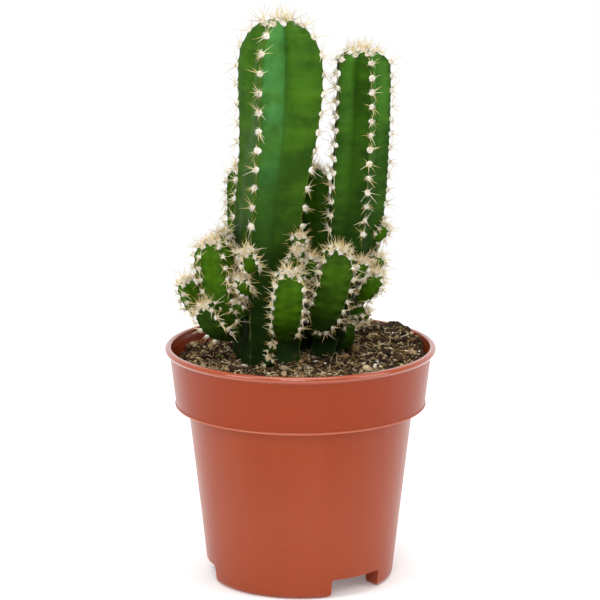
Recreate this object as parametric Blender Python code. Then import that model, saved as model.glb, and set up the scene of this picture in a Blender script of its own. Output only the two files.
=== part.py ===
"""Tall branching cactus in a round plastic nursery pot.

Metres, +Z up. The front is -Y and +X is to its right. The origin is on the pot's axis, level with the
underside of its feet. Lengths below are given in millimetres and built through MM.

The plant is a cluster of ribbed columns. Each column and each offset (a young stem that grew out of an
older one) is a solid of its own, seated against its neighbours and in the soil with a small clearance.
"""

import math
from collections import namedtuple

import bmesh
import bpy
from mathutils import Vector

MM = 0.001
CLEARANCE = 0.3           # between pieces that touch, mm
RUN_PAST = 2.0            # how far a cutter runs past what it cuts, mm

# Pot, mm
POT_HEIGHT = 105.0
RIM_RADIUS = 60.0
LIP_HEIGHT = 2.8
LIP_INNER_RADIUS = 57.2
EDGE_ROUND = 0.5           # of the collar's and the lip's other edges
COLLAR_TOP_RADIUS = 57.8
COLLAR_BOTTOM_RADIUS = 55.2
COLLAR_BOTTOM_Z = 78.5
WALL_TOP_RADIUS = 50.0
WALL_GROUND_RADIUS = 41.0  # where the wall's slope would meet the ground
WALL_THICKNESS = 1.3
FLOOR_UNDERSIDE_Z = 9.0
FLOOR_TOP_Z = 10.5
FOOT_INNER_RADIUS = 33.5
FOOT_EDGE_ROUND = 3.0
POT_SEGMENTS = 64
NOTCH_COUNT = 3
NOTCH_HALF_WIDTH = 12.9
NOTCH_TOP_Z = 8.5
NOTCH_CORNER_ROUND = 2.4
NOTCH_RUN_IN = 8.0         # how far a slot runs in past the feet, towards the axis
FIRST_NOTCH_AZIMUTH = 37.3
DRAIN_HOLES = 8
DRAIN_HOLE_RADIUS = 4.0
DRAIN_CIRCLE_RADIUS = 28.0
DRAIN_SEGMENTS = 12

# Soil, mm
SOIL_LEVEL = 97.0
MOUND_RISE = 9.5
MOUND_CENTRE = (38.0, 27.0)
MOUND_SPREAD = 28.0
HOLLOW_DEPTH = 0.7
SIDE_CLEARANCE = 0.42      # the soil's, from the pot's facetted walls
SOIL_SEGMENTS = 40
SOIL_RING_SHARES = (0.86, 0.7, 0.52, 0.32)

# Skin colours, linear RGB
POT_COLOUR = (0.42, 0.09, 0.035)
SOIL_COLOUR = (0.06, 0.04, 0.022)
OLD_GREEN = (0.045, 0.13, 0.02)
YOUNG_GREEN = (0.08, 0.21, 0.02)

# A ribbed stem. route: its centre line from the foot to the growing tip, mm. girth: the radius of its
# rib crests at equal shares of that length, mm. first_rib: azimuth of one rib, degrees, 0 at the front and
# turning towards the right. groove: a groove's radius as a share of the crests'. foot: the foot's radius as
# a share of the girth there. dome: the height of the rounded tip as a share of the last girth.
Stem = namedtuple("Stem", "name route girth ribs first_rib groove foot dome colour")

COLUMNS = (
    Stem("main_stem", ((-14.6, 2, 82), (-15, 2, 150), (-9.6, 2, 205), (-8.2, 2, 250)),
         (17, 16, 17.3, 20.8, 20.3), 4, -25.5, 0.68, 1.0, 1.28, OLD_GREEN),
    Stem("right_stem", ((7, 7, 82), (21.6, 6, 147), (25.9, 6, 198), (26.7, 6, 236)),
         (7, 12.3, 13.5, 13.3, 12.9), 5, -52, 0.66, 1.0, 0.87, OLD_GREEN),
    Stem("middle_stem", ((4, 21, 82), (5.4, 21, 135), (5.6, 21, 181)),
         (9, 9.5, 9.5, 9.3, 9), 4, -35, 0.7, 1.0, 0.9, OLD_GREEN),
    Stem("rear_left_stem", ((-22, 24, 82), (-25, 26, 135), (-25.8, 26, 180)),
         (6.5, 7.2, 7.6, 7.4, 7.1), 5, -20, 0.66, 1.0, 0.9, OLD_GREEN),
)

# An offset's girth at equal shares of its length, as shares of its full radius, and how far its middle is
# bowed out, as a share of its sideways reach.
PUP_GIRTHS = (0.72, 0.95, 1.0, 1.0, 0.95)
PUP_BOW = 0.18


def pup(name, foot, tip, radius, ribs, first_rib):
    """An offset that leaves its parent at foot and ends at tip, widest in its upper half."""
    foot, tip = Vector(foot), Vector(tip)
    middle = foot.lerp(tip, 0.5) + Vector((tip.x - foot.x, tip.y - foot.y, 0)) * PUP_BOW
    girth = [share * radius for share in PUP_GIRTHS]
    return Stem(name, (foot, middle, tip), girth, ribs, first_rib, 0.7, 0.6, 1.0, YOUNG_GREEN)


PUPS = (
    pup("left_tall_pup", (-29, -7, 110), (-39.2, -11, 154), 9.5, 5, -40),
    pup("far_left_pup", (-42, -6, 118.5), (-50.2, -7, 136), 5.3, 4, -20),
    pup("lower_left_pup", (-31, -13, 112), (-42.2, -20, 127.5), 6.3, 4, -58),
    pup("left_back_pup", (-31.5, 6, 132), (-34.5, 5, 155), 4.6, 5, -30),
    pup("rib_pup_upper", (-20.5, -11, 141), (-24, -20, 151.5), 4.6, 4, -35),
    pup("rib_pup_middle", (-22, -11, 131), (-26.4, -18, 139.5), 3.8, 4, -45),
    pup("rib_pup_lower", (-24, -10.5, 120.5), (-28.4, -15.5, 128), 3.3, 4, -45),
    pup("front_pup", (-7.5, -11, 111), (-4.4, -25, 143.5), 9.0, 4, -45),
    pup("front_bud_upper", (-12.3, -12, 105), (-12.4, -19, 109.5), 2.6, 4, -45),
    pup("front_bud_lower", (-13.2, -12, 99.5), (-13.6, -19, 103.5), 2.9, 4, -45),
    pup("inner_pup_upper", (-1.5, -3, 148.5), (-0.3, -9, 156), 2.9, 4, -10),
    pup("inner_pup_lower", (-3.5, -4, 140.5), (-1.5, -12.5, 150), 4.2, 4, -60),
    pup("centre_pup", (1, -4.5, 135.5), (5.5, -11.5, 147), 3.7, 4, -45),
    pup("right_front_pup", (5.8, -5, 112), (17.4, -17, 152), 9.9, 4, -45),
    pup("base_bud", (7, -3, 109), (7.3, -10, 113.5), 2.0, 4, -45),
    pup("right_pup", (26, -2.5, 126.5), (33.8, -6.5, 139.4), 5.3, 4, -50),
    pup("right_inner_pup", (25.4, -5, 137.5), (27.8, -10.8, 145), 3.3, 4, -45),
    pup("right_outer_pup", (29.5, 4, 136), (34.8, 0, 145.2), 3.6, 4, -30),
    pup("right_high_pup", (32, 6, 150.5), (37.6, 4, 158), 3.0, 4, -45),
    pup("right_low_pup", (21.5, -1.5, 118.5), (29.5, -5, 121.5), 3.3, 4, 0),
    pup("soil_pup", (21, -1, 104), (22, -5, 116.5), 3.1, 4, -45),
    pup("rear_left_pup", (-28, 27, 104), (-39, 33, 127), 6.5, 4, 150),
    pup("rear_pup", (-6, 26, 106), (-7, 38, 135), 8.0, 4, 135),
    pup("rear_right_pup", (7, 30, 104), (9, 42, 127), 6.5, 4, 160),
)

COLUMN_RINGS = 11
PUP_RINGS = 4
DOME_RINGS = 3
DOME_CLOSE = 0.6          # how far past its last ring a dome would close, in rings
DOME_POWER = 2.1
FOOT_RUN = 0.3            # share of a stem's length over which its foot widens to its full girth
FLANK_SHARE = 0.36        # the middle of a flank, from 0 at its groove's radius to 1 at its crest's


def clear_scene():
    for old in list(bpy.data.objects):
        bpy.data.objects.remove(old, do_unlink=True)


def finish(name, colour, roughness):
    """A plain finish for one piece."""
    made = bpy.data.materials.new(name + "_finish")
    made.use_nodes = True
    shader = made.node_tree.nodes["Principled BSDF"]
    shader.inputs["Base Color"].default_value = (*colour, 1.0)
    shader.inputs["Roughness"].default_value = roughness
    shader.inputs["Metallic"].default_value = 0.0
    return made


def add_object(name, shape, material):
    """Turns a bmesh, in millimetres, into a scene object in metres."""
    bmesh.ops.scale(shape, vec=(MM, MM, MM), verts=shape.verts)
    bmesh.ops.recalc_face_normals(shape, faces=shape.faces)
    mesh = bpy.data.meshes.new(name)
    shape.to_mesh(mesh)
    shape.free()
    mesh.shade_smooth()
    mesh.set_sharp_from_angle(angle=math.radians(35))
    made = bpy.data.objects.new(name, mesh)
    bpy.context.scene.collection.objects.link(made)
    if material:
        mesh.materials.append(material)
    return made


def add_cutter(name, shape):
    made = add_object(name, shape, None)
    made.hide_render = True
    made.display_type = "WIRE"
    return made


def carve(piece, cutter):
    cut = piece.modifiers.new("clear_of_" + cutter.name, "BOOLEAN")
    cut.operation = "DIFFERENCE"
    cut.solver = "EXACT"
    cut.object = cutter


def bridge(shape, lower, upper):
    """Faces between two rings of the same number of corners."""
    count = len(lower)
    for i in range(count):
        j = (i + 1) % count
        shape.faces.new((lower[i], lower[j], upper[j], upper[i]))


def fan(shape, ring, centre, reverse=False):
    """Closes a ring with triangles to a middle corner."""
    count = len(ring)
    for i in range(count):
        corners = (ring[i], ring[(i + 1) % count], centre)
        shape.faces.new(corners[::-1] if reverse else corners)


def arc(centre, radius, start, end, steps):
    """Outline points on an arc, angles in degrees from +r towards +z."""
    points = []
    for i in range(steps + 1):
        angle = math.radians(start + (end - start) * i / steps)
        points.append((centre[0] + radius * math.cos(angle), centre[1] + radius * math.sin(angle)))
    return points


def turned(outline, segments):
    """Turns an outline of (radius, z) about Z. It starts and ends on the axis, so that the body is closed."""
    shape = bmesh.new()
    start = shape.verts.new((0, 0, outline[0][1]))
    end = shape.verts.new((0, 0, outline[-1][1]))
    rings = []
    for radius, z in outline[1:-1]:
        ring = []
        for i in range(segments):
            angle = 2 * math.pi * i / segments
            ring.append(shape.verts.new((radius * math.cos(angle), radius * math.sin(angle), z)))
        rings.append(ring)
    fan(shape, rings[0], start, reverse=True)
    for lower, upper in zip(rings, rings[1:]):
        bridge(shape, lower, upper)
    fan(shape, rings[-1], end)
    return shape


def pot_outline():
    """From the middle of the floor's underside, down and round the feet, up the outside, over the lip,
    down the inside and back to the middle of the floor."""
    lip_round = LIP_HEIGHT / 2
    lip_middle_z = POT_HEIGHT - lip_round
    under_lip_z = POT_HEIGHT - LIP_HEIGHT
    shelf_z = COLLAR_BOTTOM_Z + WALL_THICKNESS
    foot_centre = (wall_radius(FOOT_EDGE_ROUND) - FOOT_EDGE_ROUND, FOOT_EDGE_ROUND)
    points = [(0, FLOOR_UNDERSIDE_Z), (FOOT_INNER_RADIUS, FLOOR_UNDERSIDE_Z), (FOOT_INNER_RADIUS, 0)]
    points += arc(foot_centre, FOOT_EDGE_ROUND, -90, 0, 4)
    points += [
        (WALL_TOP_RADIUS, COLLAR_BOTTOM_Z),
        (COLLAR_BOTTOM_RADIUS - EDGE_ROUND, COLLAR_BOTTOM_Z),
        (COLLAR_BOTTOM_RADIUS, COLLAR_BOTTOM_Z + EDGE_ROUND),
        (COLLAR_TOP_RADIUS, under_lip_z - EDGE_ROUND),
    ]
    points += arc((RIM_RADIUS - lip_round, lip_middle_z), lip_round, -90, 90, 6)
    points += [
        (LIP_INNER_RADIUS + EDGE_ROUND, POT_HEIGHT),
        (LIP_INNER_RADIUS, POT_HEIGHT - EDGE_ROUND),
        (collar_inner_radius(under_lip_z), under_lip_z),
        (collar_inner_radius(shelf_z), shelf_z),
        (WALL_TOP_RADIUS - WALL_THICKNESS, shelf_z),
        (wall_radius(FLOOR_TOP_Z) - WALL_THICKNESS, FLOOR_TOP_Z),
        (0, FLOOR_TOP_Z),
    ]
    return points


def wall_radius(z):
    """Radius of the wall's outer face at a height below the collar."""
    return WALL_GROUND_RADIUS + (WALL_TOP_RADIUS - WALL_GROUND_RADIUS) * z / COLLAR_BOTTOM_Z


def collar_inner_radius(z):
    """Radius of the collar's inner face at a height."""
    share = (z - COLLAR_BOTTOM_Z) / (POT_HEIGHT - LIP_HEIGHT - COLLAR_BOTTOM_Z)
    outer = COLLAR_BOTTOM_RADIUS + (COLLAR_TOP_RADIUS - COLLAR_BOTTOM_RADIUS) * share
    return outer - WALL_THICKNESS


def heading(azimuth):
    """Unit direction in plan for an azimuth: 0 is the front, 90 the right."""
    angle = math.radians(azimuth)
    return math.sin(angle), -math.cos(angle)


def notch_cutter(number):
    """A straight slot, with its lower corners rounded off, that parts two feet."""
    corner = (NOTCH_HALF_WIDTH + NOTCH_CORNER_ROUND, NOTCH_CORNER_ROUND)
    side = arc(corner, NOTCH_CORNER_ROUND, -80, -180, 3)
    side = [(side[0][0], -RUN_PAST)] + side + [(NOTCH_HALF_WIDTH, NOTCH_TOP_Z)]
    profile = side + [(-across, z) for across, z in side[::-1]]
    ahead = heading(FIRST_NOTCH_AZIMUTH + 360 / NOTCH_COUNT * number)
    shape = bmesh.new()
    ends = []
    for reach in (FOOT_INNER_RADIUS - NOTCH_RUN_IN, RIM_RADIUS):
        x, y = reach * ahead[0], reach * ahead[1]
        corners = [(x - across * ahead[1], y + across * ahead[0], z) for across, z in profile]
        ends.append([shape.verts.new(corner) for corner in corners])
    shape.faces.new(ends[0][::-1])
    shape.faces.new(ends[1])
    bridge(shape, *ends)
    return add_cutter(f"notch_{number + 1}", shape)


def drain_cutter(number):
    """A round drill through the floor."""
    x, y = heading(FIRST_NOTCH_AZIMUTH + 360 / DRAIN_HOLES * number)
    low, high = FLOOR_UNDERSIDE_Z - RUN_PAST, FLOOR_TOP_Z + RUN_PAST
    outline = [(0, low), (DRAIN_HOLE_RADIUS, low), (DRAIN_HOLE_RADIUS, high), (0, high)]
    shape = turned(outline, DRAIN_SEGMENTS)
    bmesh.ops.translate(shape, vec=(DRAIN_CIRCLE_RADIUS * x, DRAIN_CIRCLE_RADIUS * y, 0), verts=shape.verts)
    return add_cutter(f"drain_{number + 1}", shape)


def build_pot():
    pot = add_object("pot", turned(pot_outline(), POT_SEGMENTS), finish("pot", POT_COLOUR, 0.45))
    for number in range(NOTCH_COUNT):
        carve(pot, notch_cutter(number))
    for number in range(DRAIN_HOLES):
        carve(pot, drain_cutter(number))


def soil_height(x, y):
    """Height of the soil's surface: nearly level, heaped at the right rear, with shallow hollows."""
    away = math.hypot(x - MOUND_CENTRE[0], y - MOUND_CENTRE[1])
    mound = MOUND_RISE * math.exp(-((away / MOUND_SPREAD) ** 2))
    hollows = HOLLOW_DEPTH * math.sin(x / 6.1 + 0.5) * math.cos(y / 5.3)
    return SOIL_LEVEL + mound + hollows


def build_soil(sockets):
    """The soil fills the pot from its floor, and each stem that reaches into it leaves a socket."""
    shelf_z = COLLAR_BOTTOM_Z + WALL_THICKNESS + CLEARANCE
    floor_z = FLOOR_TOP_Z + CLEARANCE
    inset = WALL_THICKNESS + SIDE_CLEARANCE
    shape = bmesh.new()
    directions = [heading(360 * i / SOIL_SEGMENTS) for i in range(SOIL_SEGMENTS)]

    def ring(radius, z):
        return [shape.verts.new((radius * x, radius * y, z)) for x, y in directions]

    rings = [
        ring(wall_radius(floor_z) - inset, floor_z),
        ring(WALL_TOP_RADIUS - inset, shelf_z),
        ring(collar_inner_radius(shelf_z) - SIDE_CLEARANCE, shelf_z),
    ]
    edge = []
    for x, y in directions:
        z = soil_height(COLLAR_BOTTOM_RADIUS * x, COLLAR_BOTTOM_RADIUS * y)
        radius = collar_inner_radius(z) - SIDE_CLEARANCE
        edge.append(shape.verts.new((radius * x, radius * y, z)))
    rings.append(edge)
    for share in SOIL_RING_SHARES:
        radius = COLLAR_BOTTOM_RADIUS * share
        rings.append([shape.verts.new((radius * x, radius * y, soil_height(radius * x, radius * y)))
                      for x, y in directions])
    fan(shape, rings[0], shape.verts.new((0, 0, floor_z)), reverse=True)
    for lower, upper in zip(rings, rings[1:]):
        bridge(shape, lower, upper)
    fan(shape, rings[-1], shape.verts.new((0, 0, soil_height(0, 0))))
    soil = add_object("potting_soil", shape, finish("potting_soil", SOIL_COLOUR, 0.95))
    for cutter in sockets:
        if touches(soil, cutter):
            carve(soil, cutter)


def along(points, share):
    """A smooth curve through points, at a share of its length in control spans."""
    points = [Vector(p) for p in points]
    ends = [2 * points[0] - points[1]] + points + [2 * points[-1] - points[-2]]
    place = min(share, 0.999999) * (len(points) - 1)
    i = int(place)
    t = place - i
    a, b, c, d = ends[i:i + 4]
    square = 2 * a - 5 * b + 4 * c - d
    cube = 3 * b - a - 3 * c + d
    return 0.5 * (2 * b + (c - a) * t + square * t ** 2 + cube * t ** 3)


def girth_at(girth, share):
    place = min(share, 0.999999) * (len(girth) - 1)
    i = int(place)
    return girth[i] + (girth[i + 1] - girth[i]) * (place - i)


def rib_corners(stem):
    """One turn of the cross-section at unit radius, as (reach, angle): crest, flank, groove and flank."""
    quarter = math.pi / stem.ribs / 2
    flank = stem.groove + (1 - stem.groove) * FLANK_SHARE
    reaches = (1.0, flank, stem.groove, flank)
    corners = []
    for rib in range(stem.ribs):
        crest = 4 * quarter * rib
        corners += [(reach, crest + quarter * step) for step, reach in enumerate(reaches)]
    return corners


def stem_shape(stem, rings, swell=0.0):
    """The ribbed solid along the stem's route, with a domed tip. swell makes it larger all round, mm."""
    corners = rib_corners(stem)
    dome = stem.dome * stem.girth[-1]
    length = sum((Vector(b) - Vector(a)).length for a, b in zip(stem.route, stem.route[1:]))
    dome_start = 1 - dome / length
    shares = [dome_start * i / rings for i in range(rings + 1)]
    for i in range(1, DOME_RINGS + 1):
        shares.append(dome_start + (1 - dome_start) * math.sin(math.pi / 2 * i / (DOME_RINGS + DOME_CLOSE)))
    shape = bmesh.new()
    made = []
    start_angle = math.radians(stem.first_rib - 90)
    for share in shares:
        centre = along(stem.route, share)
        ahead = (along(stem.route, share + 0.01) - along(stem.route, share - 0.01)).normalized()
        right = Vector((0, 1, 0)).cross(ahead).normalized()
        back = ahead.cross(right)
        radius = girth_at(stem.girth, share)
        foot = stem.foot + (1 - stem.foot) * min(1, share / FOOT_RUN)
        tip = max(0, (share - dome_start) / (1 - dome_start))
        radius = radius * foot * (1 - tip ** DOME_POWER) ** (1 / DOME_POWER) + swell
        ring = []
        for reach, angle in corners:
            angle += start_angle
            ring.append(shape.verts.new(
                centre + right * radius * reach * math.cos(angle) + back * radius * reach * math.sin(angle)))
        made.append(ring)
    foot_way = (along(stem.route, 0.02) - along(stem.route, 0)).normalized()
    for vert in made[0]:
        vert.co -= foot_way * swell
    tip_way = (along(stem.route, 1) - along(stem.route, 0.97)).normalized()
    fan(shape, made[0], shape.verts.new(along(stem.route, 0) - foot_way * swell), reverse=True)
    for lower, upper in zip(made, made[1:]):
        bridge(shape, lower, upper)
    fan(shape, made[-1], shape.verts.new(along(stem.route, 1) + tip_way * swell))
    return shape


def touches(piece, cutter):
    """Whether two objects' boxes meet."""
    def span(thing, axis):
        values = [corner.co[axis] for corner in thing.data.vertices]
        return min(values), max(values)
    for axis in range(3):
        low_a, high_a = span(piece, axis)
        low_b, high_b = span(cutter, axis)
        if high_a < low_b or high_b < low_a:
            return False
    return True


def build_plant():
    """Columns first, then offsets: each later stem is seated against the ones before it."""
    spaces = []
    for stem in COLUMNS + PUPS:
        rings = COLUMN_RINGS if stem in COLUMNS else PUP_RINGS
        piece = add_object(stem.name, stem_shape(stem, rings), finish(stem.name, stem.colour, 0.5))
        for space in spaces:
            if touches(piece, space):
                carve(piece, space)
        spaces.append(add_cutter(stem.name + "_space", stem_shape(stem, rings, swell=CLEARANCE)))
    return spaces


clear_scene()
build_pot()
build_soil(build_plant())
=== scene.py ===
"""Looks of a clustering columnar cactus in a round plastic nursery pot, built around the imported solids.

The front is -Y, +X is to its right and +Z is up. Lengths are written in millimetres and built through MM.
"""

import math
from collections import namedtuple

import bmesh
import bpy
import numpy as np
from mathutils import Matrix, Vector, noise


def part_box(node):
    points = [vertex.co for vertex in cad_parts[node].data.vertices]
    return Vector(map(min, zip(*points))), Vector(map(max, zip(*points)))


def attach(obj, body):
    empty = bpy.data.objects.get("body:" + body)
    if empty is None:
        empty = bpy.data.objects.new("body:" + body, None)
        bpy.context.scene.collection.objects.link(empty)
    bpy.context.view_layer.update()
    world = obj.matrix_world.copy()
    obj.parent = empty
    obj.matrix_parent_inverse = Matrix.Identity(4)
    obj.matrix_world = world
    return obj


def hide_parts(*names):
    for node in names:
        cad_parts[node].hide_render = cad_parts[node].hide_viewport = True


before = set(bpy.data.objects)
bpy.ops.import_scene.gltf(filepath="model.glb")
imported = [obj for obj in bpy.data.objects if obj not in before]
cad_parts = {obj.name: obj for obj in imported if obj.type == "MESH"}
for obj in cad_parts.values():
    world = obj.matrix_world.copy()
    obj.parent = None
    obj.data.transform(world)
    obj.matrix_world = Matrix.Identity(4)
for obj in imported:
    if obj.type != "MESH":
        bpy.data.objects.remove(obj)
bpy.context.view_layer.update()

MM = 0.001
BODY = "root"

# Pot, mm. The rim's radius and the height come from the frame.
RIM_RADIUS = (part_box("pot")[1].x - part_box("pot")[0].x) / 2 / MM
POT_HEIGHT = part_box("pot")[1].z / MM
LIP_HEIGHT = 2.8
LIP_INNER_RADIUS = 57.2
COLLAR_TOP_RADIUS = 57.8
COLLAR_BOTTOM_RADIUS = 55.2
COLLAR_BOTTOM_Z = 78.5
WALL_TOP_RADIUS = 50.0
WALL_GROUND_RADIUS = 41.0
WALL_THICKNESS = 1.3
FLOOR_UNDERSIDE_Z = 9.0
FLOOR_TOP_Z = 10.5
FOOT_INNER_RADIUS = 33.5
FOOT_EDGE_ROUND = 3.0
LIP_INNER_ROUND = 0.9
SMALL_ROUND = 0.4
FLASH_BEAD = 0.45
NOTCH_COUNT = 3
NOTCH_HALF_WIDTH = 12.9
NOTCH_TOP_Z = 8.5
NOTCH_CORNER_ROUND = 2.4
NOTCH_RUN_IN = 8.0
FIRST_NOTCH_AZIMUTH = 37.3
DRAIN_HOLES = 8
DRAIN_HOLE_RADIUS = 4.0
DRAIN_CIRCLE_RADIUS = 28.0
POT_SEGMENTS = 192
SHARP_EDGE = 38.0         # degrees

# Soil, mm
SOIL_LEVEL = 97.0
MOUND_RISE = 9.5
MOUND_CENTRE = (38.0, 27.0)
MOUND_SPREAD = 28.0
HOLLOW_DEPTH = 0.7
LUMP_RISE = 1.7
GRIT_RISE = 0.7
SOIL_GAP = 0.4            # between the soil and the wall
SOIL_TURNS = 200
SOIL_RINGS = 64

# Clods that stand out of the soil: x, y, spread and height, mm
CLODS = ((-45, 14, 5, 4.2), (-38, 4, 5, 4.4), (-29, -24, 7, 3.6), (-47, -6, 5, 2.4), (-36, 21, 4, 3.4),
         (-20, -38, 5, 2.4), (31, 38, 6, 2.0), (44, 28, 6, 1.0), (50, 12, 4, 4.0), (33, 16, 5, 2.2),
         (40, -6, 5, 2.6), (22, -34, 5, 1.8), (26, 4, 4, 2.2))

# A ribbed stem, in the same terms as its solid: route and girth in mm, azimuths in degrees from the front
# towards the right. dome: height of the rounded tip as a share of the last girth. spacing: from one areole to
# the next along a rib, mm. tooth: how far a rib's crest stands out at an areole, mm. groove: a groove's
# radius as a share of the crests', at the foot and the tip. skew: how far the grooves lie off the middle of
# their sectors, as a share of half a sector. puff: how full the lobes beside a groove are at the tip, from 0
# to 1. bare: the share of the length, from the foot, that has lost its areoles. wool: an areole's size, 1 on
# the tallest column. skin: its finish.
Stem = namedtuple("Stem", "name route girth ribs first_rib foot dome spacing tooth groove skew puff bare "
                          "wool skin")

COLUMNS = (
    Stem("main_stem", ((-14.6, 2, 82), (-15, 2, 150), (-9.6, 2, 205), (-8.2, 2, 250)),
         (17, 16, 17.3, 20.8, 20.3), 4, -25.5, 1.0, 1.28, 8.5, 0.8, (0.72, 0.5),
         -0.16, 0.8, 0.37, 1.0, "main"),
    Stem("right_stem", ((7, 7, 82), (21.6, 6, 147), (25.9, 6, 198), (26.7, 6, 236)),
         (7, 12.3, 13.5, 13.3, 12.9), 5, -52, 1.0, 0.87, 6.3, 0.55, (0.7, 0.56),
         0.0, 0.3, 0.36, 0.85, "right"),
    Stem("middle_stem", ((4, 21, 82), (5.4, 21, 135), (5.6, 21, 181)),
         (9, 9.5, 9.5, 9.3, 9), 4, -35, 1.0, 0.9, 5.8, 0.6, (0.72, 0.6), 0.0, 0.4, 0.4, 0.75, "low"),
    Stem("rear_left_stem", ((-22, 24, 82), (-25, 26, 135), (-25.8, 26, 180)),
         (6.5, 7.2, 7.6, 7.4, 7.1), 5, -20, 1.0, 0.9, 4.9, 0.6, (0.72, 0.6), 0.0, 0.4, 0.3, 0.85, "low"),
)

PUP_GIRTHS = (0.72, 0.95, 1.0, 1.0, 0.95)
PUP_BOW = 0.18


def pup(name, foot, tip, radius, ribs, first_rib, wool=0.72, bare=0.1, skin="pup"):
    """An offset that leaves its parent at foot and ends at tip, widest in its upper half."""
    foot, tip = Vector(foot), Vector(tip)
    middle = foot.lerp(tip, 0.5) + Vector((tip.x - foot.x, tip.y - foot.y, 0)) * PUP_BOW
    girth = [share * radius for share in PUP_GIRTHS]
    spacing = 2.7 + 0.26 * radius
    tooth = 0.45 + 0.07 * radius
    return Stem(name, (foot, middle, tip), girth, ribs, first_rib, 0.6, 1.0, spacing, tooth,
                (0.74, 0.62), 0.0, 0.45, bare, wool, skin)


PUPS = (
    pup("left_tall_pup", (-29, -7, 110), (-39.2, -11, 154), 9.5, 5, -40),
    pup("far_left_pup", (-42, -6, 118.5), (-50.2, -7, 136), 5.3, 4, -20),
    pup("lower_left_pup", (-31, -13, 112), (-42.2, -20, 127.5), 6.3, 4, -58, skin="shaded"),
    pup("left_back_pup", (-31.5, 6, 132), (-34.5, 5, 155), 4.6, 5, -30),
    pup("rib_pup_upper", (-20.5, -11, 141), (-24, -20, 151.5), 4.6, 4, -35),
    pup("rib_pup_middle", (-22, -11, 131), (-26.4, -18, 139.5), 3.8, 4, -45),
    pup("rib_pup_lower", (-24, -10.5, 120.5), (-28.4, -15.5, 128), 3.3, 4, -45, 0.5, 0.6),
    pup("front_pup", (-7.5, -11, 111), (-4.4, -25, 143.5), 9.0, 4, -45),
    pup("front_bud_upper", (-12.3, -12, 105), (-12.4, -19, 109.5), 2.6, 4, -45, 0.36, 0.7),
    pup("front_bud_lower", (-13.2, -12, 99.5), (-13.6, -19, 103.5), 2.9, 4, -45, 0.36, 0.7),
    pup("inner_pup_upper", (-1.5, -3, 148.5), (-0.3, -9, 156), 2.9, 4, -10, 0.65),
    pup("inner_pup_lower", (-3.5, -4, 140.5), (-1.5, -12.5, 150), 4.2, 4, -60, 0.65),
    pup("centre_pup", (1, -4.5, 135.5), (5.5, -11.5, 147), 3.7, 4, -45, 0.65),
    pup("right_front_pup", (5.8, -5, 112), (17.4, -17, 152), 9.9, 4, -45, skin="shaded"),
    pup("base_bud", (7, -3, 109), (7.3, -10, 113.5), 2.0, 4, -45, 0.34, 0.7),
    pup("right_pup", (26, -2.5, 126.5), (33.8, -6.5, 139.4), 5.3, 4, -50),
    pup("right_inner_pup", (25.4, -5, 137.5), (27.8, -10.8, 145), 3.3, 4, -45, 0.65),
    pup("right_outer_pup", (29.5, 4, 136), (34.8, 0, 145.2), 3.6, 4, -30, 0.65),
    pup("right_high_pup", (32, 6, 150.5), (37.6, 4, 158), 3.0, 4, -45, 0.6),
    pup("right_low_pup", (21.5, -1.5, 118.5), (29.5, -5, 121.5), 3.3, 4, 0, 0.55),
    pup("soil_pup", (21, -1, 104), (22, -5, 116.5), 3.1, 4, -45, 0.3, 0.7),
    pup("rear_left_pup", (-28, 27, 104), (-39, 33, 127), 6.5, 4, 150),
    pup("rear_pup", (-6, 26, 106), (-7, 38, 135), 8.0, 4, 135),
    pup("rear_right_pup", (7, 30, 104), (9, 42, 127), 6.5, 4, 160),
)

DOME_POWER = 2.1          # how square a domed tip is: 2 is an ellipse
SOFT_GROOVE = 0.55        # how round the bottom of a stem's last groove is; the others are sharp
SKIN_WOBBLE = 0.03        # how far the skin strays from its ideal shape, as a share of the radius
GOLDEN_SHARE = 0.381966   # of a turn or a step, so that neighbours never line up
GOLDEN_ANGLE = 2.4

# Studio, mm and degrees
FLOOR_RADIUS = 620.0
LIT_POINT = (0, 0, 0.12)  # what the soft boxes face, m
CAMERA_PLACE = (-0.2, -1430.0, 457.0)
CAMERA_DIP = 13.06
CAMERA_LENS = 199.6


# ---- node graphs


class Num:
    """A node's output that can be used in sums: each sum adds a Math node to its graph."""

    def __init__(self, graph, socket):
        self.graph = graph
        self.socket = socket

    def math(self, operation, *others):
        return self.graph.node("ShaderNodeMath", {"operation": operation}, dict(enumerate((self, *others))))

    def __add__(self, other):
        return self.math("ADD", other)

    def __sub__(self, other):
        return self.math("SUBTRACT", other)

    def __rsub__(self, other):
        return self.graph.node("ShaderNodeMath", {"operation": "SUBTRACT"}, {0: other, 1: self})

    def __mul__(self, other):
        return self.math("MULTIPLY", other)

    __radd__ = __add__
    __rmul__ = __mul__


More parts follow.
